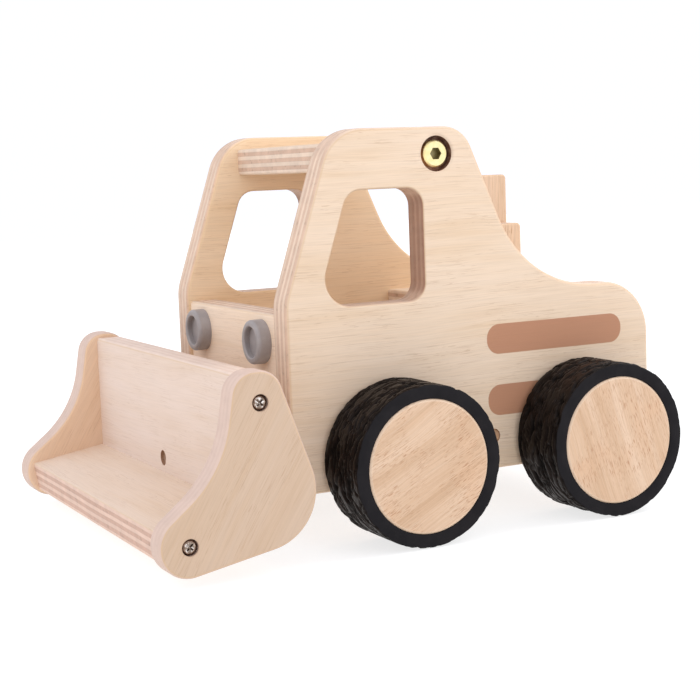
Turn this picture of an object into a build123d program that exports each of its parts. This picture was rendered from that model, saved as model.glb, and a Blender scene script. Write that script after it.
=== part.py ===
from build123d import *
import math
import os

# Wooden toy wheel loader with a lever-lifted shovel.
# Front faces -Y, the vehicle's left side is +X, +Z is up, lengths in mm.
# Inside this script Y = 0 is the front axle and Z = 0 is the floor it stands on.
# write_part() moves everything by frame_shift, so the exported origin is at the
# centre of the bottom of the whole object's box.

# ---- driving dimensions ----
wall_t = 12.0            # plywood of side walls, front panel, shovel floor and lever core
board_t = 11.0           # plywood of roof, deck, rear panel and shovel back
plate_t = 10.2           # plywood of the shovel plates
cheek_t = 10.5           # plywood of the two lift arm cheeks
inner_half = 43.5        # half the clear width between the side walls
body_bottom = 19.2
hood_top = 89.9
roof_top = 154.3
body_front = -42.2
body_rear = 122.8

disc_r = 25.0            # wooden wheel
tyre_r = 30.35           # rolling radius
tyre_w = 26.0
wheel_in = 58.4          # inner face of a wheel, from the middle plane
wheel_out = 84.5         # outer face of the wooden disc
wheelbase = 85.7
axle_r = 3.0
run_fit = 0.08           # radial clearance of every turning pin or shaft

shovel_half = 87.2       # half the shovel's overall width
shovel_nose = -106.4
shovel_top = 72.5
floor_tilt = 9.0         # degrees, the shovel floor falls towards its lip

pivot_y = 46.0
pivot_z = 32.4
pivot_r = 3.0
lift_gap = 0.5

dowel_r = 3.0
edge_round = 1.6         # eased edges of the side walls
plate_round = 1.4        # eased edges of the shovel plates

frame_shift = -(shovel_nose + body_rear) / 2

outer_half = inner_half + wall_t
os.makedirs("parts", exist_ok=True)


# ---- helpers ----
def write_part(name, *solids):
    moved = [Pos(0, frame_shift, 0) * s for s in solids]
    shape = moved[0] if len(moved) == 1 else Compound(children=moved)
    export_step(shape, f"parts/{name}.step")


def rounded_face(corners):
    """Closed face through (u, v, radius) corners, each one rounded by its radius."""
    starts = []
    ends = []
    mids = []
    n = len(corners)
    for i in range(n):
        u, v, r = corners[i]
        here = Vector(u, v)
        before = (Vector(*corners[i - 1][:2]) - here).normalized()
        after = (Vector(*corners[(i + 1) % n][:2]) - here).normalized()
        half = math.radians(before.get_angle(after)) / 2
        reach = r / math.tan(half)
        middle = (before + after).normalized()
        starts.append(here + before * reach)
        ends.append(here + after * reach)
        mids.append(here + middle * (r / math.sin(half) - r))
    edges = []
    for i in range(n):
        if corners[i][2] > 0:
            edges.append(Edge.make_three_point_arc(starts[i], mids[i], ends[i]))
        nxt = starts[(i + 1) % n]
        if (nxt - ends[i]).length > 1e-4:
            edges.append(Edge.make_line(ends[i], nxt))
    return Face(Wire(edges))


def upright_board(corners, x0, x1, ease=edge_round, openings=()):
    """Board standing in a plane of constant x, its corners given as (y, z, radius)."""
    side = Plane.YZ.offset(x0)
    board = extrude(side * rounded_face(corners), amount=x1 - x0, dir=(1, 0, 0))
    if ease:
        rims = board.faces().filter_by(Axis.X).edges()
        board = fillet(rims, ease)
    for hole, hole_ease in openings:
        cut = extrude(side * rounded_face(hole), amount=x1 - x0, dir=(1, 0, 0))
        board = board - cut
        rims = [e for e in board.faces().filter_by(Axis.X).edges()
                if cut.bounding_box().min.Y - 0.1 < e.center().Y < cut.bounding_box().max.Y + 0.1
                and cut.bounding_box().min.Z - 0.1 < e.center().Z < cut.bounding_box().max.Z + 0.1]
        if hole_ease:
            board = fillet(rims, hole_ease)
    return board


def block(x0, x1, y0, y1, z0, z1):
    return Pos((x0 + x1) / 2, (y0 + y1) / 2, (z0 + z1) / 2) * Box(x1 - x0, y1 - y0, z1 - z0)


def rod_x(r, x0, x1, y, z):
    return Pos((x0 + x1) / 2, y, z) * Rot(0, 90, 0) * Cylinder(r, abs(x1 - x0))


def rod_y(r, y0, y1, x, z):
    return Pos(x, (y0 + y1) / 2, z) * Rot(90, 0, 0) * Cylinder(r, abs(y1 - y0))


def both_sides(solid):
    return [solid, mirror(solid, about=Plane.YZ)]


def eased(solid, r, axis):
    """Ease the four long edges of a plain board that run along one axis."""
    return fillet(solid.edges().filter_by(axis), r)


# ---- places of pins, dowels and bolts, as (y, z) ----
front_axle_at = (0.0, tyre_r)
rear_axle_at = (wheelbase, tyre_r)
bolt_at = (23.4, 144.0)

roof_z0 = 138.4
roof_y0 = -16.1
roof_y1 = 34.0
panel_y0 = -40.7
panel_y1 = panel_y0 + wall_t
panel_top = 86.3
deck_y0 = 54.6
deck_y1 = 116.0
deck_top = 84.8
deck_z0 = deck_top - board_t
tail_y1 = deck_y1
tail_y0 = tail_y1 - board_t

roof_dowel_at = [(-6.0, roof_z0 + board_t / 2)]
panel_dowel_at = [((panel_y0 + panel_y1) / 2, z) for z in (34.0, 57.0)]
deck_dowel_at = [(y, deck_z0 + board_t / 2) for y in (63.0, 98.0)]
tail_dowel_at = [((tail_y0 + tail_y1) / 2, z) for z in (36.0, 60.0)]
wall_dowel_at = roof_dowel_at + panel_dowel_at + deck_dowel_at + tail_dowel_at
dowel_in_wall = 8.0
dowel_in_board = 18.0

# ---- side walls: one outline, cab in front, low hood behind ----
wall_outline = [
    (body_front, body_bottom, 10),
    (body_rear, body_bottom, 16),
    (body_rear, hood_top, 22),
    (63.8, hood_top, 48),
    (36.0, roof_top, 13),
    (-21.0, roof_top, 18),
    (body_front, 91.0, 20),
]
window_outline = [
    (-29.4, 88.5, 10.5),
    (16.9, 88.5, 7),
    (16.9, 131.5, 7),
    (-14.9, 131.5, 7.5),
]
bolt_recess_r = 6.8
bolt_recess_depth = 3.6
bolt_shank_r = 3.0

wall = upright_board(wall_outline, inner_half, outer_half, openings=[(window_outline, 0.9)])
for y, z in (front_axle_at, rear_axle_at):
    wall = wall - rod_x(axle_r + run_fit, inner_half - 1, outer_half + 1, y, z)
for y, z in wall_dowel_at:
    wall = wall - rod_x(dowel_r, inner_half - 1, inner_half + dowel_in_wall, y, z)
wall = wall - rod_x(pivot_r, inner_half - 1, outer_half + 1, pivot_y, pivot_z)
wall = wall - rod_x(bolt_recess_r, outer_half - bolt_recess_depth, outer_half + 1, *bolt_at)
wall = wall - rod_x(bolt_shank_r + 0.1, inner_half - 1, outer_half, *bolt_at)
write_part("wall_left", wall)
write_part("wall_right", mirror(wall, about=Plane.YZ))


# ---- boards between the walls ----
def drill_for_dowels(board, places):
    for y, z in places:
        hole = rod_x(dowel_r, inner_half - dowel_in_board, inner_half + 1, y, z)
        for h in both_sides(hole):
            board = board - h
    return board


def dowels(places, x_mid=inner_half):
    pins = []
    for y, z in places:
        pin = rod_x(dowel_r, x_mid - dowel_in_board + 0.5, x_mid + dowel_in_wall - 0.5, y, z)
        pins += both_sides(chamfer(pin.edges(), 0.5))
    return pins


nut_x = 24.0
nut_r = 5.0
roof = block(-inner_half, inner_half, roof_y0, roof_y1, roof_z0, roof_z0 + board_t)
roof = eased(roof, 1.2, Axis.X)
roof = drill_for_dowels(roof, roof_dowel_at)
for s in (-1, 1):
    roof = roof - rod_x(bolt_shank_r + 0.1, s * 16.5, s * (inner_half + 1), *bolt_at)
    roof = roof - Pos(s * nut_x, bolt_at[0], roof_z0 + 4.5) * Cylinder(nut_r, 11)
write_part("roof_board", roof)

slot_half = 18.5         # half width of the slots that the lift arm passes through
panel_slot_top = 63.2
lamp_x = 30.0
lamp_z = 75.4
lamp_r = 8.5
lamp_front = -46.0
panel = block(-inner_half, inner_half, panel_y0, panel_y1, 24.0, panel_top)
panel = eased(panel, 1.2, Axis.X)
panel = panel - block(-slot_half, slot_half, panel_y0 - 1, panel_y1 + 1, 20, panel_slot_top)
panel = drill_for_dowels(panel, panel_dowel_at)
for s in (-1, 1):
    panel = panel - rod_y(4.0, panel_y0 - 1, panel_y0 + 7, s * lamp_x, lamp_z)
write_part("front_panel", panel)

deck_slot_y0 = 66.8
deck_slot_y1 = 107.5
deck = block(-inner_half, inner_half, deck_y0, deck_y1, deck_z0, deck_top)
deck = eased(deck, 1.0, Axis.X)
deck = deck - block(-slot_half, slot_half, deck_slot_y0, deck_slot_y1, deck_z0 - 1, deck_top + 1)
deck = drill_for_dowels(deck, deck_dowel_at)
write_part("rear_deck", deck)

tail = block(-inner_half, inner_half, tail_y0, tail_y1, 24.0, deck_z0)
tail = fillet(tail.edges().filter_by(Axis.X).sort_by(Axis.Z)[:2], 1.2)
tail = drill_for_dowels(tail, tail_dowel_at)
write_part("rear_panel", tail)

write_part("roof_dowels", *dowels(roof_dowel_at))
write_part("front_panel_dowels", *dowels(panel_dowel_at))
write_part("deck_dowels", *dowels(deck_dowel_at))
write_part("rear_panel_dowels", *dowels(tail_dowel_at))

# ---- brass connector bolts with hex sockets and the cross nuts they pull on ----
bolt_head_x = outer_half - bolt_recess_depth
bolt = rod_x(5.2, bolt_head_x, outer_half - 0.3, *bolt_at)
bolt = chamfer(bolt.edges().group_by(Axis.X)[-1], 0.6)
bolt = bolt + rod_x(bolt_shank_r, 17.0, bolt_head_x + 0.2, *bolt_at)
socket = extrude(Plane.YZ.offset(outer_half - 2.8) * RegularPolygon(2.5, 6), amount=4)
bolt = bolt - Pos(0, bolt_at[0], bolt_at[1]) * socket
write_part("roof_bolts", *both_sides(bolt))

cross_nut = Pos(nut_x, bolt_at[0], roof_z0 + 5.1) * Cylinder(nut_r - 0.05, 9.4)
cross_nut = cross_nut - rod_x(bolt_shank_r + 0.02, 10, 40, *bolt_at)
write_part("roof_cross_nuts", *both_sides(cross_nut))

# ---- headlights: round cups with a stub glued into the front panel ----
lamp = rod_y(lamp_r, lamp_front, panel_y0, lamp_x, lamp_z)
lamp = fillet(lamp.edges().group_by(Axis.Y)[0], 1.3)
lamp = lamp - rod_y(5.9, lamp_front - 1, lamp_front + 2.4, lamp_x, lamp_z)
lamp = fillet(lamp.edges().group_by(Axis.Y)[0], 0.7)
lamp = lamp + rod_y(3.95, panel_y0 - 0.2, panel_y0 + 6.5, lamp_x, lamp_z)
write_part("headlight_left", lamp)
write_part("headlight_right", mirror(lamp, about=Plane.YZ))


# ---- wheels: a solid wooden roll inside a rubber tyre, fixed on a turning axle ----
def make_wheel(y, z):
    roll = rod_x(disc_r, wheel_in, wheel_out, y, z)
    roll = chamfer(roll.edges().group_by(Axis.X)[-1], 0.8)
    roll = roll - rod_x(axle_r, wheel_in - 1, wheel_in + 17, y, z)
    return roll


groove_count = 3
groove_w = 1.2
groove_depth = 0.9
lug_count = 20


def make_tyre(y, z):
    x0 = wheel_in - 0.2
    x1 = x0 + tyre_w
    section = [
        (x0, disc_r, 0),
        (x1, disc_r, 0),
        (x1, tyre_r, 2.0),
        (x0, tyre_r, 2.0),
    ]
    ring = revolve(Plane.XZ * rounded_face(section), Axis.X)
    step = tyre_w / (groove_count + 1)
    for i in range(groove_count):
        mid = x0 + step * (i + 1)
        outer = rod_x(tyre_r + 1, mid - groove_w / 2, mid + groove_w / 2, 0, 0)
        inner = rod_x(tyre_r - groove_depth, mid - groove_w, mid + groove_w, 0, 0)
        ring = ring - (outer - inner)
    for i in range(lug_count):
        turn = Rot(360 / lug_count * i, 0, 0)
        for side in (x0, x1):
            ring = ring - turn * Pos(side, 0, tyre_r) * Box(5.5, 1.3, 1.6)
    return Pos(0, y, z) * ring


def make_axle(y, z):
    shaft = rod_x(axle_r, -wheel_in - 16.5, wheel_in + 16.5, y, z)
    return chamfer(shaft.edges().group_by(Axis.X)[0] + shaft.edges().group_by(Axis.X)[-1], 0.5)


def make_washer(y, z):
    ring = rod_x(7.0, outer_half + 0.5, wheel_in, y, z)
    return ring - rod_x(axle_r + 0.05, outer_half - 1, wheel_in + 1, y, z)


for place, (y, z) in (("front", front_axle_at), ("rear", rear_axle_at)):
    left_roll, right_roll = both_sides(make_wheel(y, z))
    left_tyre, right_tyre = both_sides(make_tyre(y, z))
    write_part(f"wheel_{place}_left", left_roll)
    write_part(f"wheel_{place}_right", right_roll)
    write_part(f"tyre_{place}_left", left_tyre)
    write_part(f"tyre_{place}_right", right_tyre)
    write_part(f"{place}_axle", make_axle(y, z))
    write_part(f"{place}_axle_washers", *both_sides(make_washer(y, z)))

# ---- shovel ----
shovel_in = shovel_half - plate_t
back_y0 = -72.2
back_y1 = back_y0 + board_t
lip_y = -103.4
lip_z = 18.9
fall = math.tan(math.radians(floor_tilt))
floor_drop = wall_t / math.cos(math.radians(floor_tilt))


def floor_top(y):
    return lip_z + (y - lip_y) * fall


plate_outline = [
    (-76.8, shovel_top, 9.0),
    (-61.3, shovel_top, 9.0),
    (-40.6, 13.7, 20.2),
    (-136.7, -3.6, 11.1),
    (-82.5, 39.5, 42.7),
]
back_screw_at = (-67.6, 61.4)
floor_screw_at = (-95.5, 15.0)
back_dowel_at = ((back_y0 + back_y1) / 2, 38.0)
floor_dowel_at = (-76.0, floor_top(-76.0) - wall_t / 2)
screw_head_r = 2.7
screw_shank_r = 1.75
screw_length = 24.0

plate = upright_board(plate_outline, shovel_in, shovel_half, ease=plate_round)
for y, z in (back_screw_at, floor_screw_at):
    plate = plate - rod_x(screw_head_r + 0.3, shovel_half - 2.8, shovel_half + 1, y, z)
    plate = plate - rod_x(screw_shank_r, shovel_in - 1, shovel_half, y, z)
for y, z in (back_dowel_at, floor_dowel_at):
    plate = plate - rod_x(dowel_r, shovel_in - 1, shovel_in + 5.5, y, z)
write_part("shovel_plate_left", plate)
write_part("shovel_plate_right", mirror(plate, about=Plane.YZ))


def drill_shovel_board(board, screw, dowel):
    for hole in (rod_x(screw_shank_r, shovel_in - screw_length, shovel_in + 1, *screw),
                 rod_x(dowel_r, shovel_in - 14, shovel_in + 1, *dowel)):
        for h in both_sides(hole):
            board = board - h
    return board


arm_screw_z = 29.5
back_outline = [
    (back_y0, floor_top(back_y0), 0),
    (back_y1, floor_top(back_y1), 0),
    (back_y1, 70.4, 1.4),
    (back_y0, 70.4, 1.4),
]
back = upright_board(back_outline, -shovel_in, shovel_in, ease=0)
back = drill_shovel_board(back, back_screw_at, back_dowel_at)
back = back - rod_y(3.0, back_y0 - 1, back_y0 + 5.5, 0, arm_screw_z)
back = back - rod_y(2.1, back_y0, back_y1 + 1, 0, arm_screw_z)

nose_drop = wall_t * math.cos(math.radians(floor_tilt))
nose_run = wall_t * math.sin(math.radians(floor_tilt))
floor_outline = [
    (lip_y, lip_z, 0.8),
    (lip_y + nose_run, lip_z - nose_drop, 0.8),
    (back_y1, floor_top(back_y1) - floor_drop, 0),
    (back_y1, floor_top(back_y1), 0),
]
floor = upright_board(floor_outline, -shovel_in, shovel_in, ease=0)
floor = drill_shovel_board(floor, floor_screw_at, floor_dowel_at)

# the arm is fixed to the shovel by one long screw and two dowels
arm_bottom = 18.0
arm_nose_top = 34.0
arm_dowel_x = 10.5
arm_dowel_z = 23.5
for s in (-1, 1):
    dowel_hole = rod_y(dowel_r, back_y1 - 7, back_y1 + 1, s * arm_dowel_x, arm_dowel_z)
    back = back - dowel_hole
    floor = floor - dowel_hole
write_part("shovel_back", back)
write_part("shovel_floor", floor)


def cross_screw(y, z):
    head = rod_x(screw_head_r, shovel_half - 2.8, shovel_half - 0.5, y, z)
    head = fillet(head.edges().group_by(Axis.X)[-1], 1.0)
    head = head + rod_x(screw_shank_r, shovel_half - screw_length, shovel_half - 2.6, y, z)
    for tilt in (45, 135):
        bar = Pos(shovel_half - 0.8, y, z) * Rot(tilt, 0, 0) * Box(1.8, 0.7, 3.0)
        head = head - bar
    return head


screws = [cross_screw(*back_screw_at), cross_screw(*floor_screw_at)]
write_part("shovel_screws_left", *screws)
write_part("shovel_screws_right", *[mirror(s, about=Plane.YZ) for s in screws])

shovel_pins = []
for y, z in (back_dowel_at, floor_dowel_at):
    pin = rod_x(dowel_r, shovel_in - 13.5, shovel_in + 5, y, z)
    shovel_pins += both_sides(chamfer(pin.edges(), 0.5))
write_part("shovel_dowels", *shovel_pins)

# ---- lift arm: a core between two cheeks, its rear end is the hand lever ----
lever_y0 = 69.0
lever_y1 = 87.0
lever_top = 134.7
cheek_top = 114.2
core_half = wall_t / 2
arm_half = core_half + cheek_t


def arm_outline(top):
    return [
        (back_y1, arm_bottom, 0),
        (-16.0, 22.0, 6),
        (-9.0, 37.0, 6),
        (24.0, 37.0, 8),
        (34.0, 22.5, 8),
        (57.5, 22.5, 10),
        (70.0, 50.0, 14),
        (lever_y1, 60.0, 3),
        (lever_y1, top, 1.8),
        (lever_y0, top, 1.8),
        (lever_y0, deck_z0 - lift_gap, 1),
        (42.0, deck_z0 - lift_gap, 12),
        (24.0, 58.0, 14),
        (-8.0, 52.0, 12),
        (-27.5, arm_nose_top, 8),
        (back_y1, arm_nose_top, 0),
    ]


arm_pin_at = [(-30.0, 27.0), (8.0, 46.0), (60.0, 60.0), (78.0, 92.0)]


def drill_arm(layer):
    layer = layer - rod_x(pivot_r + run_fit, -20, 20, pivot_y, pivot_z)
    for y, z in arm_pin_at:
        layer = layer - rod_x(dowel_r, -20, 20, y, z)
    for s in (-1, 1):
        layer = layer - rod_y(dowel_r, back_y1 - 1, back_y1 + 10, s * arm_dowel_x, arm_dowel_z)
    layer = layer - rod_y(1.75, back_y1 - 1, back_y1 + 26, 0, arm_screw_z)
    return layer


core = drill_arm(upright_board(arm_outline(lever_top), -core_half, core_half, ease=0.8))
cheek = drill_arm(upright_board(arm_outline(cheek_top), core_half, arm_half, ease=0.8))
write_part("lift_lever", core)
write_part("arm_cheek_left", cheek)
write_part("arm_cheek_right", mirror(cheek, about=Plane.YZ))

arm_pins = [rod_x(dowel_r, -arm_half + 0.3, arm_half - 0.3, y, z) for y, z in arm_pin_at]
write_part("arm_pins", *arm_pins)

arm_screw = rod_y(2.8, back_y0 + 3.0, back_y0 + 5.5, 0, arm_screw_z)
arm_screw = arm_screw + rod_y(1.75, back_y0 + 5.3, back_y1 + 25, 0, arm_screw_z)
for tilt in (0, 90):
    arm_screw = arm_screw - Pos(0, back_y0 + 3.2, arm_screw_z) * Rot(0, tilt, 0) * Box(3.4, 1.6, 0.8)
write_part("arm_screw", arm_screw)

arm_dowel = rod_y(dowel_r, back_y1 - 6.5, back_y1 + 9.5, arm_dowel_x, arm_dowel_z)
write_part("arm_dowels", *both_sides(chamfer(arm_dowel.edges(), 0.5)))

# ---- pivot of the lift arm: a wooden rod through both walls, with two spacer tubes ----
pivot = rod_x(pivot_r, -outer_half + 0.2, outer_half - 0.2, pivot_y, pivot_z)
pivot = chamfer(pivot.edges().group_by(Axis.X)[0] + pivot.edges().group_by(Axis.X)[-1], 0.5)
write_part("pivot_rod", pivot)

spacer = rod_x(6.5, arm_half + lift_gap, inner_half, pivot_y, pivot_z)
spacer = spacer - rod_x(pivot_r, arm_half, inner_half + 1, pivot_y, pivot_z)
write_part("pivot_spacers", *both_sides(spacer))
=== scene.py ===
import math

import bpy
import numpy as np
from mathutils import Matrix, Vector


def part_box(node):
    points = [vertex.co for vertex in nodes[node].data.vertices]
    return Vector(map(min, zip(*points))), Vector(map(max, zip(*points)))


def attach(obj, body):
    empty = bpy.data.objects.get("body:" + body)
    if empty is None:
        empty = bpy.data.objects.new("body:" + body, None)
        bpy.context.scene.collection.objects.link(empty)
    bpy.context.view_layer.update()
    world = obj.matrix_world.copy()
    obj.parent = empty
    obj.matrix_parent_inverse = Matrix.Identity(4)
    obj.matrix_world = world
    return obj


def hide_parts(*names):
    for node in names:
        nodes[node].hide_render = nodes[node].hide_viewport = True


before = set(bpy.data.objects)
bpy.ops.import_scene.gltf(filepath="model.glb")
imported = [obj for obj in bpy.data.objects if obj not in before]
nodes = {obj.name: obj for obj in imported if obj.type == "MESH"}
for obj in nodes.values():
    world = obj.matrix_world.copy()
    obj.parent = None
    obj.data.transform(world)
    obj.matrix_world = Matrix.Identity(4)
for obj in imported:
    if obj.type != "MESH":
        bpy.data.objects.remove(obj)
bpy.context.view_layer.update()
scene = bpy.context.scene
MM = 0.001


# ---------------------------------------------------------------- camera
AZIMUTH = math.radians(62.9867)       # from the front, -Y, towards +X
ELEVATION = math.radians(6.8251)
ROLL = math.radians(-2.1362)
CAMERA_X = 0.5529067                  # metres
CAMERA_Z = 0.1390497
CAMERA_BEFORE_AXLE = 0.2700107        # towards -Y from the front axle
SENSOR_WIDTH = 36
LENS = 77.3693023                     # both in mm


def place_camera():
    """The photograph's camera, fitted to the part."""
    back = Vector((math.sin(AZIMUTH) * math.cos(ELEVATION),
                   -math.cos(AZIMUTH) * math.cos(ELEVATION),
                   math.sin(ELEVATION)))
    right = Vector((math.cos(AZIMUTH), math.sin(AZIMUTH), 0))
    up = back.cross(right)
    cam_x = right * math.cos(ROLL) + up * math.sin(ROLL)
    cam_y = up * math.cos(ROLL) - right * math.sin(ROLL)
    turn = Matrix((cam_x, cam_y, back)).transposed().to_4x4()
    data = bpy.data.cameras.new("camera")
    data.sensor_width = SENSOR_WIDTH
    data.lens = LENS
    data.clip_start = 0.01
    data.clip_end = 20
    camera = bpy.data.objects.new("camera", data)
    camera_y = centre_mm("front_axle").y * MM - CAMERA_BEFORE_AXLE
    camera.matrix_world = Matrix.Translation((CAMERA_X, camera_y, CAMERA_Z)) @ turn
    scene.collection.objects.link(camera)
    scene.camera = camera


# ---------------------------------------------------------------- shader helper
class Shader:
    """Adds shader nodes to one material. Lengths in its coordinates are millimetres."""

    def __init__(self, name):
        self.material = bpy.data.materials.new(name)
        self.material.use_nodes = True
        self.tree = self.material.node_tree
        self.tree.nodes.clear()
        self.bsdf = self.node("ShaderNodeBsdfPrincipled")
        output = self.node("ShaderNodeOutputMaterial")
        self.tree.links.new(self.bsdf.outputs[0], output.inputs[0])
        coords = self.node("ShaderNodeTexCoord")
        self.place = self.vec("MULTIPLY", coords.outputs["Object"], (1000, 1000, 1000))
        self.normal = coords.outputs["Normal"]

    def node(self, kind, **settings):
        made = self.tree.nodes.new(kind)
        for key, value in settings.items():
            setattr(made, key, value)
        return made

    def put(self, value, socket):
        if isinstance(value, bpy.types.NodeSocket):
            self.tree.links.new(value, socket)
        elif isinstance(value, (tuple, list)) and socket.type == "RGBA" and len(value) == 3:
            socket.default_value = (*value, 1)
        else:
            socket.default_value = value

    def math(self, operation, *values):
        made = self.node("ShaderNodeMath", operation=operation)
        for i, value in enumerate(values):
            self.put(value, made.inputs[i])
        return made.outputs[0]

    def times(self, a, b):
        return self.math("MULTIPLY", a, b)

    def plus(self, a, b):
        return self.math("ADD", a, b)

    def minus(self, a, b):
        return self.math("SUBTRACT", a, b)

    def absolute(self, value):
        return self.math("ABSOLUTE", value)

    def length(self, a, b):
        """Length of the plane vector (a, b)."""
        return self.math("SQRT", self.plus(self.times(a, a), self.times(b, b)))

    def from_axis(self, centre):
        """Distance in mm from the line along X through centre."""
        place = self.split(self.place)
        return self.length(self.minus(place[1], centre.y), self.minus(place[2], centre.z))

    def vec(self, operation, *values):
        made = self.node("ShaderNodeVectorMath", operation=operation)
        for i, value in enumerate(values):
            self.put(value, made.inputs[i])
        scalar = operation in ("DOT_PRODUCT", "LENGTH")
        return made.outputs["Value" if scalar else "Vector"]

    def dot(self, a, b):
        return self.vec("DOT_PRODUCT", a, tuple(b))

    def join(self, x, y, z):
        made = self.node("ShaderNodeCombineXYZ")
        for i, value in enumerate((x, y, z)):
            self.put(value, made.inputs[i])
        return made.outputs[0]

    def split(self, vector):
        made = self.node("ShaderNodeSeparateXYZ")
        self.put(vector, made.inputs[0])
        return made.outputs

    def noise(self, vector, scale=1.0, detail=2.0, rough=0.5):
        made = self.node("ShaderNodeTexNoise")
        self.put(vector, made.inputs["Vector"])
        made.inputs["Scale"].default_value = scale
        made.inputs["Detail"].default_value = detail
        made.inputs["Roughness"].default_value = rough
        return made.outputs[0]

    def random(self, value):
        made = self.node("ShaderNodeTexWhiteNoise", noise_dimensions="1D")
        self.put(value, made.inputs["W"])
        return made.outputs["Value"]

    def smooth(self, value, low, high, to_low=0.0, to_high=1.0):
        """Eases from to_low to to_high as value goes from low to high."""
        made = self.node("ShaderNodeMapRange", interpolation_type="SMOOTHSTEP")
        for i, item in enumerate((value, low, high, to_low, to_high)):
            self.put(item, made.inputs[i])
        return made.outputs[0]

    def ramp(self, value, stops):
        made = self.node("ShaderNodeValToRGB")
        elements = made.color_ramp.elements
        while len(elements) < len(stops):
            elements.new(0.5)
        for element, (place, colour) in zip(elements, stops):
            element.position = place
            element.color = (*colour, 1)
        self.put(value, made.inputs[0])
        return made.outputs[0]

    def mix(self, factor, a, b, blend="MIX"):
        made = self.node("ShaderNodeMix", data_type="RGBA", blend_type=blend)
        self.put(factor, made.inputs[0])
        self.put(a, made.inputs[6])
        self.put(b, made.inputs[7])
        return made.outputs[2]

    def shade(self, colour, value):
        """Colour times a grey value."""
        grey = self.join(value, value, value)
        return self.mix(1.0, colour, grey, "MULTIPLY")

    def bump(self, height, depth_mm, strength):
        made = self.node("ShaderNodeBump")
        made.inputs["Strength"].default_value = strength
        made.inputs["Distance"].default_value = depth_mm * MM
        self.put(height, made.inputs["Height"])
        return made.outputs[0]

    def finish(self, colour, roughness, normal=None, metallic=0.0, specular=0.5):
        """Connects the looks and returns the material."""
        self.put(colour, self.bsdf.inputs["Base Color"])
        self.put(roughness, self.bsdf.inputs["Roughness"])
        self.bsdf.inputs["Metallic"].default_value = metallic
        self.bsdf.inputs["Specular IOR Level"].default_value = specular
        if normal is not None:
            self.put(normal, self.bsdf.inputs["Normal"])
        return self.material


def srgb(red, green, blue):
    """Linear colour of an 8-bit sRGB one."""
    def linear(v):
        v = v / 255
        return v / 12.92 if v <= 0.04045 else ((v + 0.055) / 1.055) ** 2.4
    return tuple(linear(v) for v in (red, green, blue))


def centre_mm(name):
    low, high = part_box(name)
    return (low + high) * (0.5 / MM)


def thick_mm(name):
    """Thickness of a board that stands in a plane of constant X."""
    low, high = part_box(name)
    return (high.x - low.x) / MM


def unit(y, z):
    """Direction in a plane of constant X."""
    return Vector((0, y, z)).normalized()


def coat(name, material):
    """Gives a CAD node's every face one material."""
    slots = nodes[name].data.materials
    slots.clear()
    slots.append(material)


# ---------------------------------------------------------------- plywood
VENEER_LIGHT = (0.790, 0.630, 0.484)
VENEER_MID = (0.765, 0.592, 0.434)
VENEER_DARK = (0.715, 0.525, 0.352)
SANDED = (0.640, 0.440, 0.265)
PLY_LONG = (0.735, 0.575, 0.445)
PLY_END = (0.590, 0.400, 0.290)
FLECK = (0.480, 0.300, 0.175)
# burnt wood darkened with painted shade, for the upper rear of the bolt recess
BURNT_AND_SHADED = (0.120, 0.045, 0.024)
SINGED = (0.330, 0.105, 0.055)
# scorched wood darkened with painted shade, for the counterbores of the shovel screws
SINGED_SHADED_BORE = (0.190, 0.085, 0.045)
PAINT = (0.455, 0.215, 0.120)
BORE_EDGE = (0.330, 0.165, 0.090)
BORE_DEEP = (0.660, 0.440, 0.290)
# tints, multiplied with the wood's own colour
# painted shade for the cab window's cut edges
WINDOW_SHADE_TINT = (0.560, 0.430, 0.370)
# painted warm bounce light for the walls' inner faces
INNER_BOUNCE_TINT = (1.06, 1.01, 0.90)
# painted light for the shovel plates' inner faces
SCOOP_LIGHT_TINT = (1.24, 1.20, 1.16)

PLIES = 7
WALL_T = 12.0                          # mm, also of the lever core and the shovel floor
BOARD_T = 11.0
FLOOR_TILT = math.radians(9)
LIP_Z = 18.9                           # mm, height of the shovel floor's lip
SCREW_HEAD_R = 2.7                     # mm, screws of the shovel plates


def along_grain(s, along, beside, key):
    """Makes a function that gives noises stretched along the grain."""
    def stretched(run, cross, **settings):
        return s.noise(s.join(s.times(along, run), s.times(beside, cross), key), **settings)

    return stretched


def veneer(s, along, beside, key, line):
    """Face veneer: slightly wavy grain with narrow lines, dashes and short dark flecks.
    Returns its colour and the noises of its bands, lines and flecks."""
    wander = s.noise(s.join(s.times(along, 0.012), s.times(beside, 0.018), key), detail=1.5)
    stretched = along_grain(s, along, s.math("MULTIPLY_ADD", wander, 5.0, beside), key)
    broad = stretched(0.010, 0.05, detail=2.0)
    bands = stretched(0.014, 0.36, detail=2.5, rough=0.55)
    lines = stretched(0.040, 1.7, detail=3.0, rough=0.6)
    dashes = stretched(0.055, 2.7, detail=2.0, rough=0.6)
    flecks = stretched(0.17, 2.2, detail=1.0)
    zones = stretched(0.030, 0.12, detail=1.0)
    tone = s.plus(s.times(broad, 0.6), s.times(bands, 0.4))
    face = s.ramp(tone, [(0.30, VENEER_DARK), (0.47, VENEER_MID), (0.66, VENEER_LIGHT)])
    face = s.shade(face, s.smooth(lines, 0.35, 0.70, 1.0 + 0.02 * line, 1.0 - 0.05 * line))
    dashes = s.times(s.smooth(dashes, 0.56, 0.66, 0.0, 0.40 * line),
                     s.smooth(zones, 0.36, 0.58, 0.35, 1.0))
    flecks = s.times(s.smooth(flecks, 0.65, 0.70, 0.0, 0.45 * line),
                     s.smooth(zones, 0.48, 0.60))
    flecks = s.math("MAXIMUM", dashes, flecks)
    return s.mix(flecks, face, FLECK), bands, lines, flecks


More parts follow.
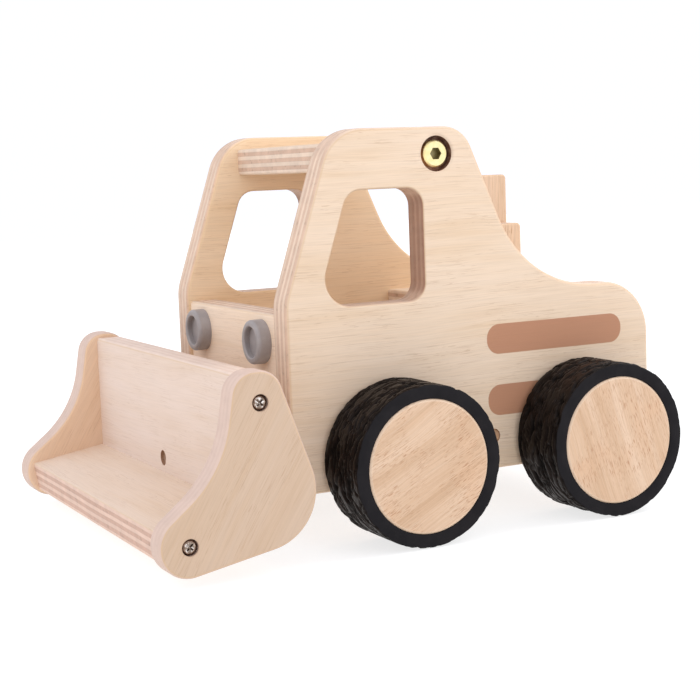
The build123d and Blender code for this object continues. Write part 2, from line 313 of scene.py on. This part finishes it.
def ply_edge(s, depth, level, across, grain, seed, contrast):
    """Cut edge: alternating plies, darker where their end grain shows, and glue lines.
    level counts plies from one face. Returns the colour, and a value that is 0.5 in a
    glue line and 0 half way between two."""
    drift = s.noise(s.vec("MULTIPLY", s.place, (0.03, 0.03, 0.03)), detail=1.0)
    level = s.plus(level, s.math("MULTIPLY_ADD", drift, 0.5, -0.25))
    level = s.math("MINIMUM", s.math("MAXIMUM", level, 0.01), PLIES - 0.01)
    index = s.math("FLOOR", level)
    odd = s.math("PINGPONG", index, 1.0)
    end_of_even = s.absolute(s.dot(s.normal, grain))
    end_of_odd = s.absolute(s.dot(s.normal, across.cross(grain)))
    end_amount = s.plus(s.times(odd, end_of_odd), s.times(s.minus(1.0, odd), end_of_even))
    ends = s.smooth(end_amount, 0.20, 0.95, 0.0, contrast)
    # streaks that run with the plies on every edge
    squashed = s.vec("ADD", s.vec("MULTIPLY", s.place, (0.16, 0.16, 0.16)),
                     s.vec("SCALE", tuple(across), s.times(depth, 2.0)))
    streak = s.noise(squashed, detail=3.0, rough=0.65)
    pores = s.noise(s.vec("MULTIPLY", squashed, (3.0, 3.0, 3.0)), detail=1.0)
    edge = s.mix(ends, PLY_LONG, PLY_END)
    edge = s.shade(edge, s.smooth(streak, 0.28, 0.72, 1.0 - 0.10 * contrast, 1.06))
    own_tone = s.random(s.plus(index, float(seed)))
    edge = s.shade(edge, s.math("MULTIPLY_ADD", own_tone, 0.16 * contrast, 1.0 - 0.09 * contrast))
    pore_mask = s.times(ends, s.smooth(pores, 0.58, 0.72, 0.0, 0.20))
    edge = s.shade(edge, s.minus(1.0, pore_mask))
    glue = s.absolute(s.minus(s.math("FRACT", level), 0.5))
    edge = s.shade(edge, s.smooth(glue, 0.38, 0.50, 1.0, 1.0 - 0.12 * contrast))
    return edge, glue


def plywood(name, middle, across, thickness, grain, seed, tint=None, edge_tint=None,
            line=1.0, contrast=1.0, marks=None):
    """Board of plywood. middle is a point half way through it, across the direction
    through its thickness, grain that of its face veneer. line scales the drawing of
    the faces, contrast that of the plies on the edges. marks adds local colours."""
    s = Shader(name)
    across = Vector(across).normalized()
    grain = Vector(grain).normalized()
    depth = s.minus(s.dot(s.place, across), across.dot(middle) - thickness / 2)
    along = s.dot(s.place, grain)
    beside = s.dot(s.place, across.cross(grain))
    # each of the two faces has a veneer of its own
    back_face = s.math("GREATER_THAN", depth, thickness / 2)
    key = s.math("MULTIPLY_ADD", back_face, 37.0, float(seed))
    face, bands, lines, flecks = veneer(s, along, beside, key, line)
    if tint is not None:
        face = s.mix(1.0, face, tint, "MULTIPLY")

    level = s.math("DIVIDE", depth, thickness / PLIES)
    edge, glue = ply_edge(s, depth, level, across, grain, seed, contrast)
    if edge_tint is not None:
        edge = s.mix(1.0, edge, edge_tint, "MULTIPLY")
    from_face = s.math("MINIMUM", level, s.minus(float(PLIES), level))
    inside = s.smooth(from_face, 0.14, 0.28)
    colour = s.mix(inside, face, edge)
    # the sanded rim of the face is a touch darker and yellower
    rim = s.times(s.smooth(from_face, 0.005, 0.08), s.minus(1.0, inside))
    colour = s.mix(s.times(rim, 0.5), colour, SANDED)

    roughness = s.smooth(bands, 0.3, 0.7, 0.52, 0.64)
    if marks is not None:
        colour, roughness = marks(s, colour, roughness, lines)
    relief = s.plus(s.times(lines, 0.5), s.times(flecks, -0.8))
    relief = s.plus(relief, s.times(inside, s.times(s.smooth(glue, 0.36, 0.50), -0.5)))
    return s.finish(colour, roughness, s.bump(relief, 0.08, 0.6), specular=0.3)


# places on the side walls in mm, as in the part
WINDOW_FRONT = -29.4                   # lower front corner, in Y from the front axle
WINDOW_REAR = 16.9                     # upright rear edge, from the front axle
WINDOW_LOW = 88.5
WINDOW_HIGH = 131.5
WINDOW_LEAN = 14.5 / 43.0              # run of the slanted front edge per rise
RECESS_R = 6.8
RECESS_DEPTH = 3.6
STRIPES = ((70.85, 5.95), (46.6, 6.1))  # height of the middle, half the width
STRIPE_MIDDLE = -9.35                  # in Y from the rear axle
STRIPE_HALF = 32.4
STRIPE_CORNER = 5.6


def window_mask(s, y, z):
    """Cut edges of the cab window, darkened with painted shade; the upright rear one is darkened
    most.
    """
    axle = centre_mm("front_axle")
    rear = axle.y + WINDOW_REAR
    lean = s.math("MULTIPLY_ADD", z, -WINDOW_LEAN, WINDOW_LOW * WINDOW_LEAN)
    from_front = s.minus(s.plus(y, lean), axle.y + WINDOW_FRONT)
    inside = s.times(s.smooth(from_front, -3.0, -2.0),
                     s.minus(1.0, s.smooth(y, rear + 1.1, rear + 2.1)))
    above = s.smooth(z, WINDOW_LOW - 2.5, WINDOW_LOW - 1.5)
    below = s.minus(1.0, s.smooth(z, WINDOW_HIGH + 1.5, WINDOW_HIGH + 2.5))
    inside = s.times(inside, s.times(above, below))
    cut_side = s.smooth(s.absolute(s.split(s.normal)[0]), 0.90, 0.45)
    rear_edge = s.smooth(y, rear - 2.4, rear)
    return s.times(s.times(inside, cut_side), s.math("MULTIPLY_ADD", rear_edge, 0.65, 0.30))


def stripe_mask(s, y, z, lines):
    """Two bars with round corners, their outline roughened by the grain."""
    middle = centre_mm("rear_axle").y + STRIPE_MIDDLE
    stripes = None
    for z_middle, half_width in STRIPES:
        dy = s.minus(s.absolute(s.minus(y, middle)), STRIPE_HALF - STRIPE_CORNER)
        dz = s.minus(s.absolute(s.minus(z, z_middle)), half_width - STRIPE_CORNER)
        away = s.length(s.math("MAXIMUM", dy, 0.0), s.math("MAXIMUM", dz, 0.0))
        away = s.plus(away, s.math("MULTIPLY_ADD", lines, 0.30, -0.15))
        bar = s.smooth(away, STRIPE_CORNER + 0.12, STRIPE_CORNER - 0.12)
        stripes = bar if stripes is None else s.math("MAXIMUM", stripes, bar)
    return stripes


def scorch_and_shade_recess(s, colour, y, z, out, outer):
    """Bolt recess: scorched, and darker towards its upper rear with painted shade where its wall
    faces down, reddish towards its lower front, with a faint scorched halo on the face round it.
    out is the distance from the middle plane."""
    bolt = centre_mm("roof_bolts")
    radius = s.from_axis(bolt)
    upper = s.plus(s.times(s.minus(y, bolt.y), 0.75), s.times(s.minus(z, bolt.z), 0.66))
    bottom = outer - RECESS_DEPTH
    recess = s.times(s.smooth(radius, RECESS_R + 0.25, RECESS_R - 0.05),
                     s.smooth(out, outer - 0.02, outer - 0.12))
    recess = s.times(recess, s.smooth(out, bottom - 0.8, bottom - 0.4))
    blotch = s.noise(s.place, scale=0.5, detail=2.0)
    scorch_and_shade = s.times(s.times(recess, s.smooth(upper, -6.5, 1.0, 0.72, 1.0)),
                     s.smooth(blotch, 0.25, 0.6, 0.74, 1.0))
    halo = s.times(s.smooth(radius, 8.4, 6.6), s.smooth(upper, 1.0, 6.5, 0.04, 0.30))
    halo = s.times(halo, s.smooth(out, outer - 0.9, outer - 0.3))
    # painted shade: the recess darkens towards its upper rear, where its wall faces down
    burn_and_shade_colour = s.mix(s.smooth(upper, -6.5, 1.5), SINGED, BURNT_AND_SHADED)
    return s.mix(s.math("MAXIMUM", scorch_and_shade, halo), colour, burn_and_shade_colour)


def wall_marks():
    """Window edges darkened with painted shade, bolt recess scorched and darkened with painted
    shade, inner face warmed with painted bounce light, painted stripes outside.
    """
    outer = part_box("wall_left")[1].x / MM
    inner_face = outer - WALL_T

    def marks(s, colour, roughness, lines):
        x, y, z = s.split(s.place)
        out = s.absolute(x)
        # painted shade on the cab window's cut edges
        colour = s.mix(window_mask(s, y, z), colour, WINDOW_SHADE_TINT, "MULTIPLY")
        colour = scorch_and_shade_recess(s, colour, y, z, out, outer)
        # painted warm bounce light on the wall's inner face
        inner = s.smooth(out, inner_face + 1.5, inner_face + 0.5)
        colour = s.mix(inner, colour, s.mix(1.0, colour, INNER_BOUNCE_TINT, "MULTIPLY"))
        stripes = s.times(stripe_mask(s, y, z, lines), s.smooth(out, outer - 0.9, outer - 0.3))
        paint = s.shade(PAINT, s.math("MULTIPLY_ADD", lines, 0.14, 0.93))
        colour = s.mix(s.times(stripes, 0.96), colour, paint)
        roughness = s.plus(roughness, s.times(stripes, 0.08))
        return colour, roughness

    return marks


def hole_marks():
    """Scorched bore of the screw hole in the shovel back."""
    screw = centre_mm("arm_screw")
    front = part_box("shovel_back")[0].y / MM

    def marks(s, colour, roughness, lines):
        x, y, z = s.split(s.place)
        radius = s.length(x, s.minus(z, screw.z))
        bore = s.times(s.smooth(radius, 3.25, 3.05, 0.0, 0.9),
                       s.smooth(y, front - 0.05, front + 0.1, 0.15, 1.0))
        drilled = s.mix(s.smooth(y, front + 0.8, front + 1.9), BORE_EDGE, BORE_DEEP)
        return s.mix(bore, colour, drilled), roughness

    return marks


def screw_radius(s):
    """Distance from the nearer axis of a shovel plate's two screws. One screw is at the
    upper rear of their box, the other at its lower front."""
    low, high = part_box("shovel_screws_left")
    upper = Vector((0, high.y / MM - SCREW_HEAD_R, high.z / MM - SCREW_HEAD_R))
    lower = Vector((0, low.y / MM + SCREW_HEAD_R, low.z / MM + SCREW_HEAD_R))
    return s.math("MINIMUM", s.from_axis(upper), s.from_axis(lower))


def plate_marks():
    """Inner face of a shovel plate lightened with painted light, and counterbores round its
    screws browned, partly scorched, partly painted shade in the gap round the heads.
    """
    low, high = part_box("shovel_plate_left")
    inner_face = low.x / MM
    outer = high.x / MM

    def marks(s, colour, roughness, lines):
        radius = screw_radius(s)
        out = s.absolute(s.split(s.place)[0])
        inner = s.smooth(out, inner_face + 0.4, inner_face + 0.1)
        # painted light lifts the plate's inner face
        colour = s.mix(inner, colour, s.mix(1.0, colour, SCOOP_LIGHT_TINT, "MULTIPLY"))
        # counterbores and a ring round them: partly scorch, partly painted shade in the gap round
        # the heads
        deep = s.smooth(out, outer - 0.02, outer - 0.15)
        bore = s.times(s.smooth(radius, 3.15, 2.98, 0.0, 0.50), deep)
        ring = s.smooth(radius, 3.45, 2.95, 0.0, 0.22)
        return s.mix(s.math("MAXIMUM", bore, ring), colour, SINGED_SHADED_BORE), roughness

    return marks


def dress_board(name, material_name, across, thickness, grain, seed, **looks):
    """Coats an upright or level board, whose box has its centre half way through it."""
    coat(name, plywood(material_name, centre_mm(name), across, thickness, grain, seed, **looks))


def dress_boards():
    across_x = (1, 0, 0)
    across_y = (0, 1, 0)
    across_z = (0, 0, 1)
    for side, seed in (("left", 3), ("right", 11)):
        name = f"wall_{side}"
        dress_board(name, f"ply_{name}", across_x, WALL_T, (0, 1, 0.01), seed,
                    edge_tint=(1.00, 0.97, 0.95), contrast=0.72, marks=wall_marks())
        name = f"shovel_plate_{side}"
        # the plates' tint is partly a tanner veneer, partly painted shade of their low front
        dress_board(name, f"ply_{name}", across_x, thick_mm(name), unit(1, 1.7), seed + 20,
                    tint=(0.775, 0.725, 0.695), edge_tint=(0.86, 0.82, 0.87),
                    line=0.8, contrast=0.15, marks=plate_marks())
        name = f"arm_cheek_{side}"
        dress_board(name, f"ply_{name}", across_x, thick_mm(name), (0, 0.05, 1), seed + 40,
                    tint=(0.99, 0.92, 0.86), line=2.2)
    dress_board("lift_lever", "ply_lift_lever", across_x, WALL_T, (0, 0.03, 1), 71,
                tint=(0.93, 0.85, 0.79), line=2.2)
    dress_board("roof_board", "ply_roof", across_z, BOARD_T, (1, 0.02, 0), 81)
    dress_board("rear_deck", "ply_deck", across_z, BOARD_T, (1, 0, 0), 82)
    # the front panel's tint is partly a pinker veneer, partly painted light where the shovel and
    # headlights shade it
    dress_board("front_panel", "ply_front", across_y, WALL_T, (1, 0, 0.04), 83,
                tint=(1.14, 1.15, 1.18))
    dress_board("rear_panel", "ply_rear", across_y, BOARD_T, (1, 0, 0.03), 84)
    dress_board("shovel_back", "ply_shovel_back", across_y, BOARD_T, (1, 0, 0.03), 85,
                tint=(0.95, 0.965, 1.07), edge_tint=(1.00, 1.00, 1.06),
                line=0.7, contrast=0.3, marks=hole_marks())
    # the shovel floor is tilted, so its plies are counted from its lip
    normal = Vector((0, -math.sin(FLOOR_TILT), math.cos(FLOOR_TILT)))
    lip = Vector((0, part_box("shovel_floor")[0].y / MM, LIP_Z))
    coat("shovel_floor", plywood("ply_shovel_floor", lip - normal * (WALL_T / 2), normal,
                                 WALL_T, (1, 0, 0), 86, tint=(0.97, 0.98, 1.04),
                                 edge_tint=(0.95, 0.85, 0.86), line=0.8, contrast=0.8))


# ---------------------------------------------------------------- solid wood
DISC_R = 25.0                          # mm, a wheel's wooden disc
SOLID_DARK = (0.575, 0.370, 0.226)
SOLID_MID = (0.660, 0.450, 0.295)
SOLID_LIGHT = (0.735, 0.535, 0.380)
GROWTH = (0.530, 0.315, 0.170)
PATCH = (0.680, 0.425, 0.260)
PORE = (0.430, 0.210, 0.105)
DISC_RIM = (0.860, 0.670, 0.500)


def solid_wood(name, grain, across, seed, axle=None):
    """Solid wood with growth rings and short pores. A disc, whose axle is given, has a
    pale rim."""
    s = Shader(name)
    grain = Vector(grain).normalized()
    across = Vector(across).normalized()
    along = s.dot(s.place, grain)
    beside = s.dot(s.place, across.cross(grain))
    through = s.dot(s.place, across)
    wander = s.noise(s.join(s.times(along, 0.02), s.times(beside, 0.03), float(seed)), detail=1.0)
    deep = s.math("MULTIPLY_ADD", through, 0.12, float(seed))
    stretched = along_grain(s, along, s.math("MULTIPLY_ADD", wander, 6.0, beside), deep)
    broad = stretched(0.012, 0.16, detail=1.5)
    bands = stretched(0.010, 0.55, detail=3.0, rough=0.6)
    lines = stretched(0.05, 2.6, detail=2.0)
    pores = stretched(0.32, 3.2, detail=1.0)
    patches = s.noise(s.vec("MULTIPLY", s.place, (0.06, 0.06, 0.06)), detail=2.0)
    tone = s.plus(s.times(broad, 0.5), s.times(bands, 0.5))
    colour = s.ramp(tone, [(0.34, SOLID_DARK), (0.48, SOLID_MID), (0.62, SOLID_LIGHT)])
    colour = s.mix(s.smooth(bands, 0.53, 0.62, 0.0, 0.42), colour, GROWTH)
    colour = s.mix(s.smooth(patches, 0.45, 0.75, 0.0, 0.5), colour, PATCH)
    colour = s.shade(colour, s.smooth(lines, 0.40, 0.70, 1.02, 0.93))
    pore_mask = s.times(s.smooth(pores, 0.58, 0.66, 0.0, 0.72),
                        s.smooth(patches, 0.36, 0.56, 0.15, 1.0))
    colour = s.mix(pore_mask, colour, PORE)
    if axle is not None:
        rim = s.smooth(s.from_axis(axle), DISC_R - 1.1, DISC_R - 0.7, 0.0, 0.45)
        colour = s.mix(rim, colour, DISC_RIM)
    relief = s.minus(s.times(lines, 0.5), pore_mask)
    roughness = s.smooth(bands, 0.3, 0.7, 0.46, 0.60)
    return s.finish(colour, roughness, s.bump(relief, 0.10, 0.7), specular=0.4)


def dress_wheels():
    grains = {
        "wheel_front_left": unit(1, 0.56),
        "wheel_rear_left": unit(-0.36, 1),
        "wheel_front_right": unit(0.8, -0.6),
        "wheel_rear_right": unit(0.3, 1),
    }
    for i, (name, grain) in enumerate(grains.items()):
        middle = centre_mm(name)
        coat(name, solid_wood(f"wood_{name}", grain, (1, 0, 0), 5 + 9 * i, middle))
    beech = solid_wood("wood_dowels", (1, 0, 0), (0, 0, 1), 61)
    for name in ("roof_dowels", "front_panel_dowels", "deck_dowels", "rear_panel_dowels",
                 "shovel_dowels", "arm_pins"):
        coat(name, beech)
    coat("pivot_rod", pin_wood())
    coat("arm_dowels", solid_wood("wood_arm_dowels", (0, 1, 0), (1, 0, 0), 62))


def pin_wood():
    """Dark end grain of the pivot rod."""
    s = Shader("wood_pivot")
    pores = s.noise(s.vec("MULTIPLY", s.place, (0.05, 2.4, 2.4)), detail=2.0)
    cloud = s.noise(s.place, scale=0.4, detail=2.0)
    colour = s.mix(s.smooth(pores, 0.4, 0.65), (0.520, 0.310, 0.180), (0.410, 0.225, 0.120))
    colour = s.shade(colour, s.smooth(cloud, 0.3, 0.7, 0.9, 1.1))
    return s.finish(colour, 0.6, s.bump(pores, 0.06, 0.5), specular=0.3)


# ---------------------------------------------------------------- metal, silicone, nylon
def metal(name, light, dark, roughness, scratch):
    """Plated metal. scratch stretches its fine scratches, one factor per axis."""
    s = Shader(name)
    cloud = s.noise(s.vec("MULTIPLY", s.place, (0.5, 0.5, 0.5)), detail=3.0, rough=0.6)
    brushed = s.noise(s.vec("MULTIPLY", s.place, scratch), scale=2.0, detail=3.0, rough=0.7)
    colour = s.mix(s.smooth(cloud, 0.3, 0.7), dark, light)
    rough = s.plus(s.smooth(brushed, 0.3, 0.7, roughness - 0.06, roughness + 0.08),
                   s.smooth(cloud, 0.4, 0.7, 0.0, 0.06))
    return s.finish(colour, rough, s.bump(brushed, 0.015, 0.5), metallic=1.0)


def brass():
    """Turned bolt heads, darkened with painted shade in their hexagonal socket."""
    s = Shader("brass")
    radius = s.from_axis(centre_mm("roof_bolts"))
    cloud = s.noise(s.vec("MULTIPLY", s.place, (0.4, 0.4, 0.4)), detail=2.0)
    turned = s.noise(s.join(s.times(radius, 4.0), 0.0, 0.0), detail=2.0)
    colour = s.mix(s.smooth(cloud, 0.35, 0.65), (0.98, 0.82, 0.40), (1.00, 0.88, 0.50))
    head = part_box("roof_bolts")[1].x / MM
    deep = s.smooth(s.absolute(s.split(s.place)[0]), head - 0.1, head - 0.5)
    # painted shade in the hexagonal socket
    socket = s.times(s.smooth(radius, 2.95, 2.75), deep)
    colour = s.mix(s.times(socket, 0.78), colour, (0.060, 0.044, 0.014))
    rough = s.smooth(turned, 0.3, 0.7, 0.28, 0.42)
    return s.finish(colour, rough, s.bump(turned, 0.006, 0.4), metallic=1.0)


def dark_nickel():
    """Screw heads: a band of painted highlight round the middle with painted glints, a rim
    darkened with painted reflection of the bore, brown painted shade in the cross recess.
    """
    s = Shader("dark_nickel")
    radius = screw_radius(s)
    cloud = s.noise(s.place, scale=0.9, detail=3.0, rough=0.6)
    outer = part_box("shovel_screws_left")[1].x / MM
    # the ramp paints light: a lighter band of painted highlight round the middle, a darker rim of
    # painted reflection of the bore
    colour = s.ramp(s.math("DIVIDE", radius, 3.0), [
        (0.15, (0.360, 0.290, 0.240)), (0.45, (0.420, 0.330, 0.270)),
        (0.66, (0.290, 0.195, 0.140)), (0.88, (0.300, 0.185, 0.125))])
    # painted glints
    painted_glint = s.times(s.smooth(cloud, 0.50, 0.60), s.smooth(radius, 2.3, 1.5))
    colour = s.shade(colour, s.smooth(cloud, 0.35, 0.65, 0.55, 1.15))
    colour = s.mix(s.times(painted_glint, 0.85), colour, (0.900, 0.860, 0.820))
    # painted shade in the cross recess
    recess = s.smooth(s.absolute(s.split(s.place)[0]), outer - 0.12, outer - 0.40)
    recess = s.times(recess, s.smooth(radius, 1.9, 1.6))
    colour = s.mix(s.times(recess, 0.60), colour, (0.130, 0.080, 0.055))
    rough = s.smooth(cloud, 0.3, 0.7, 0.16, 0.34)
    return s.finish(colour, rough, s.bump(cloud, 0.08, 0.5), metallic=1.0)


def silicone():
    """Soft grey headlights."""
    s = Shader("grey_silicone")
    grain = s.noise(s.place, scale=3.5, detail=3.0, rough=0.7)
    cloud = s.noise(s.place, scale=0.25, detail=2.0)
    colour = s.mix(s.smooth(cloud, 0.35, 0.65), (0.300, 0.266, 0.256), (0.332, 0.294, 0.282))
    colour = s.shade(colour, s.smooth(grain, 0.3, 0.7, 0.97, 1.03))
    return s.finish(colour, s.smooth(grain, 0.3, 0.7, 0.40, 0.52), s.bump(grain, 0.03, 0.5),
                    specular=0.55)


def nylon():
    """Turned white spacers and washers."""
    s = Shader("nylon")
    cloud = s.noise(s.place, scale=0.4, detail=3.0)
    turning = s.noise(s.vec("MULTIPLY", s.place, (6, 0.3, 0.3)), detail=2.0)
    colour = s.mix(s.smooth(cloud, 0.3, 0.7), srgb(222, 219, 208), srgb(236, 233, 224))
    return s.finish(colour, s.smooth(turning, 0.3, 0.7, 0.35, 0.5), s.bump(turning, 0.03, 0.4))


def dress_hardware():
    coat("roof_bolts", brass())
    steel = metal("steel", srgb(208, 208, 210), srgb(182, 182, 186), 0.30, (0.2, 2, 2))
    for name in ("roof_cross_nuts", "front_axle", "rear_axle", "arm_screw"):
        coat(name, steel)
    nickel = dark_nickel()
    for name in ("shovel_screws_left", "shovel_screws_right"):
        coat(name, nickel)
    grey = silicone()
    for name in ("headlight_left", "headlight_right"):
        coat(name, grey)
    white = nylon()
    for name in ("pivot_spacers", "front_axle_washers", "rear_axle_washers"):
        coat(name, white)


# ---------------------------------------------------------------- tyres
def lattice_noise(points, seed):
    """Smooth value noise in 3-D, 0 to 1, for an (n, 3) array. The large factors and
    shifts turn each lattice cell into a number that looks random."""
    base = np.floor(points).astype(np.int64)
    part = points - base
    part = part * part * (3 - 2 * part)
    total = np.zeros(len(points))
    for corner in range(8):
        offset = np.array([corner & 1, corner >> 1 & 1, corner >> 2 & 1])
        cell = base + offset
        mixed = cell[:, 0] * 374761393 + cell[:, 1] * 668265263 + cell[:, 2] * 2147483647
        mixed = (mixed + seed * 1274126177) & 0xFFFFFFFF
        mixed = ((mixed ^ (mixed >> 13)) * 1103515245) & 0xFFFFFFFF
        mixed = ((mixed ^ (mixed >> 16)) * 2654435761) & 0xFFFFFFFF
        value = ((mixed ^ (mixed >> 15)) & 0xFFFFFF) / 0xFFFFFF
        weight = np.prod(np.where(offset == 1, part, 1 - part), axis=1)
        total += value * weight
    return total


ROUND_STEPS = 480        # points round a tyre
TREAD_STEPS = 60         # points across its tread
TREAD_DEPTH = 1.4        # mm
TYRE_WIDTH = 26.0        # mm
TYRE_BORE = 25.02        # mm, radius, just clear of the wooden disc


def tread_height(turn, across, seed):
    """0 to 1 over the tread: long flakes parted by narrow cracks, as bark has."""
    height = np.zeros_like(turn)
    # slant, cells round, cells across, weight, crack width
    layers = ((0.50, 2.6, 0.40, 0.46, 0.24), (-0.30, 4.8, 0.66, 0.34, 0.30),
              (0.80, 12.0, 1.30, 0.20, 0.60))
    for i, (slant, round_scale, cross_scale, weight, crack) in enumerate(layers):
        angle = turn + slant * across / TYRE_WIDTH
        ring = np.stack([round_scale * np.cos(angle), round_scale * np.sin(angle),
                         cross_scale * across + 31.0 * i], axis=1)
        warp = lattice_noise(ring * (1.1, 1.1, 0.35) + 7.3, seed + 50 + i)
        ring[:, 2] += 1.8 * warp
        value = lattice_noise(ring, seed + i)
        height += weight * np.clip(np.abs(2 * value - 1) / crack, 0, 1)
    return np.clip((height - 0.12) / 0.74, 0, 1)


def tyre_profile(half, outer):
    """Points of a tyre's section, each with its place across, its radius and its share
    of the tread's relief."""
    shoulder = outer - 0.5
    flat = [(-half + 0.25, TYRE_BORE, 0.0), (-half, TYRE_BORE + 0.3, 0.0),
            (-half, shoulder - 2.2, 0.0), (-half, shoulder - 0.3, 0.0)]
    tread = []
    for i in range(TREAD_STEPS + 1):
        t = i / TREAD_STEPS * 2 - 1
        edge = max(0.0, (abs(t) - 0.95) / 0.05)
        tread.append((t * (half - 0.08 * edge), outer - 0.20 * edge * edge, 1.0 - 0.60 * edge))
    back = [(-across, radius, share) for across, radius, share in reversed(flat)]
    bore = [(half * k, TYRE_BORE, 0.0) for k in (0.4, -0.4)]
    return flat + tread + back + bore


def build_tyre(name, tread_material, wall_material, seed):
    """Closed ring: plain bore and side walls, a layered tread between ragged shoulders."""
    low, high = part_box(name)
    middle = (low + high) / 2 / MM
    outward = 1 if middle.x > 0 else -1
    half = (high.x - low.x) / MM / 2
    outer = (high.z - low.z) / MM / 2
    turns = np.arange(ROUND_STEPS) * 2 * math.pi / ROUND_STEPS
    across, radius, share = np.array(tyre_profile(half, outer)).T
    columns = len(across)
    grid_turn, grid_across = np.meshgrid(turns, across, indexing="ij")
    heights = tread_height(grid_turn.ravel(), grid_across.ravel(), seed)
    heights = heights.reshape(ROUND_STEPS, columns)
    drop = (1 - heights) * TREAD_DEPTH * share
    grid_radius = radius[None, :] - drop
    x = middle.x + outward * grid_across
    y = middle.y + grid_radius * np.cos(grid_turn)
    z = middle.z + grid_radius * np.sin(grid_turn)
    points = np.stack([x, y, z], axis=-1).reshape(-1, 3) * MM
    faces = []
    kinds = []
    for i in range(ROUND_STEPS):
        after = (i + 1) % ROUND_STEPS
        for j in range(columns):
            beside = (j + 1) % columns
            face = (i * columns + j, i * columns + beside,
                    after * columns + beside, after * columns + j)
            faces.append(face if outward > 0 else face[::-1])
            kinds.append(0 if share[j] > 0.3 and share[beside] > 0.3 else 1)
    mesh = bpy.data.meshes.new(f"{name}_tread")
    mesh.from_pydata([tuple(p) for p in points], [], faces)
    mesh.materials.append(tread_material)
    mesh.materials.append(wall_material)
    mesh.polygons.foreach_set("material_index", kinds)
    mesh.update()
    mesh.shade_smooth()
    tyre = bpy.data.objects.new(f"{name}_tread", mesh)
    scene.collection.objects.link(tyre)
    return tyre


def tread_rubber(name, axle, outer):
    """Glossy flakes, a lighter brown partly from their dusty tone and partly from painted sheen;
    cracks darkened with painted shade.
    """
    s = Shader(name)
    radius = s.from_axis(axle)
    cloud = s.noise(s.place, scale=0.16, detail=3.0)
    grain = s.noise(s.place, scale=2.6, detail=3.0, rough=0.7)
    lifted = s.smooth(radius, outer - 1.1, outer - 0.1)
    # painted shade darkens the cracks; the raised flakes' lighter brown is partly their dusty
    # tone, partly painted sheen
    colour = s.mix(lifted, (0.0010, 0.0007, 0.0006), (0.0085, 0.0056, 0.0045))
    colour = s.shade(colour, s.smooth(cloud, 0.35, 0.65, 0.75, 1.3))
    rough = s.plus(s.smooth(lifted, 0.0, 1.0, 0.65, 0.30),
                   s.smooth(grain, 0.3, 0.7, 0.0, 0.10))
    s.bsdf.inputs["Specular Tint"].default_value = (1.0, 0.84, 0.76, 1)
    return s.finish(colour, rough, s.bump(grain, 0.03, 0.5), specular=0.10)


def wall_rubber():
    """Dull side walls."""
    s = Shader("rubber_side")
    cloud = s.noise(s.place, scale=0.16, detail=3.0)
    grain = s.noise(s.place, scale=2.6, detail=3.0, rough=0.7)
    colour = s.mix(s.smooth(cloud, 0.35, 0.65), (0.0110, 0.0098, 0.0112),
                   (0.0145, 0.0128, 0.0142))
    colour = s.shade(colour, s.smooth(grain, 0.3, 0.7, 0.92, 1.06))
    return s.finish(colour, s.smooth(grain, 0.3, 0.7, 0.56, 0.72), s.bump(grain, 0.05, 0.5),
                    specular=0.10)


def dress_tyres():
    """Treads with their own relief in place of the four plain CAD tyres."""
    side_material = wall_rubber()
    for i, place in enumerate(("front", "rear")):
        for j, side in enumerate(("left", "right")):
            name = f"tyre_{place}_{side}"
            low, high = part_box(name)
            outer = (high.z - low.z) / MM / 2
            tread_material = tread_rubber(f"rubber_{name}", centre_mm(name), outer)
            tyre = build_tyre(name, tread_material, side_material, 3 + 10 * i + 5 * j)
            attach(tyre, f"{place}_axle_set")
            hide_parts(name)


# ---------------------------------------------------------------- floor and light
FLOOR_HALF = 3.0                       # metres
FLOOR_STEPS = 24
FLOOR_DROP = 0.0002                    # metres, keeps it off the underside of the wheels


def build_floor():
    """White ground, which glows a little more away from the toy."""
    mesh = bpy.data.meshes.new("floor")
    row = FLOOR_STEPS + 1
    places = [(i / FLOOR_STEPS - 0.5) * 2 * FLOOR_HALF for i in range(row)]
    points = [(x, y, -FLOOR_DROP) for x in places for y in places]
    faces = []
    for i in range(FLOOR_STEPS):
        for j in range(FLOOR_STEPS):
            a = i * row + j
            faces.append((a, a + row, a + row + 1, a + 1))
    mesh.from_pydata(points, [], faces)
    mesh.update()
    s = Shader("floor")
    cloud = s.noise(s.place, scale=0.002, detail=2.0)
    colour = s.mix(s.smooth(cloud, 0.3, 0.7), (0.34, 0.34, 0.34), (0.36, 0.36, 0.36))
    reach = s.vec("LENGTH", s.place)
    glow = s.smooth(reach, 60.0, 420.0, 0.76, 0.84)
    s.put(glow, s.bsdf.inputs["Emission Strength"])
    s.bsdf.inputs["Emission Color"].default_value = (1, 1, 1, 1)
    mesh.materials.append(s.finish(colour, 0.8, specular=0.0))
    floor = bpy.data.objects.new("floor", mesh)
    scene.collection.objects.link(floor)


def add_light(name, place, aim, size, power, colour):
    """Round lamp of size metres across and power watts, pointed at aim."""
    data = bpy.data.lights.new(name, "AREA")
    data.shape = "DISK"
    data.size = size
    data.energy = power
    data.color = colour
    light = bpy.data.objects.new(name, data)
    light.location = place
    light.rotation_euler = (Vector(aim) - Vector(place)).to_track_quat("-Z", "Y").to_euler()
    scene.collection.objects.link(light)


def build_light():
    """Even white surroundings and three soft lamps."""
    world = bpy.data.worlds.new("world")
    world.use_nodes = True
    background = world.node_tree.nodes["Background"]
    background.inputs[0].default_value = (1.0, 1.02, 1.10, 1)
    background.inputs[1].default_value = 1.0
    scene.world = world
    add_light("key", (0.12, -0.60, 0.60), aim=(0, 0, 0.06),
              size=0.45, power=0.8, colour=(0.98, 0.98, 1.0))
    add_light("fill", (0.50, -0.02, 0.52), aim=(0.03, 0, 0.09),
              size=0.40, power=0.3, colour=(0.98, 0.98, 1.0))
    add_light("rear", (0.12, 0.38, 0.40), aim=(-0.02, 0.03, 0.11),
              size=0.35, power=1.0, colour=(1.0, 0.97, 0.92))
    scene.view_settings.view_transform = "Standard"
    scene.view_settings.look = "None"


place_camera()
dress_boards()
dress_wheels()
dress_hardware()
dress_tyres()
build_floor()
build_light()
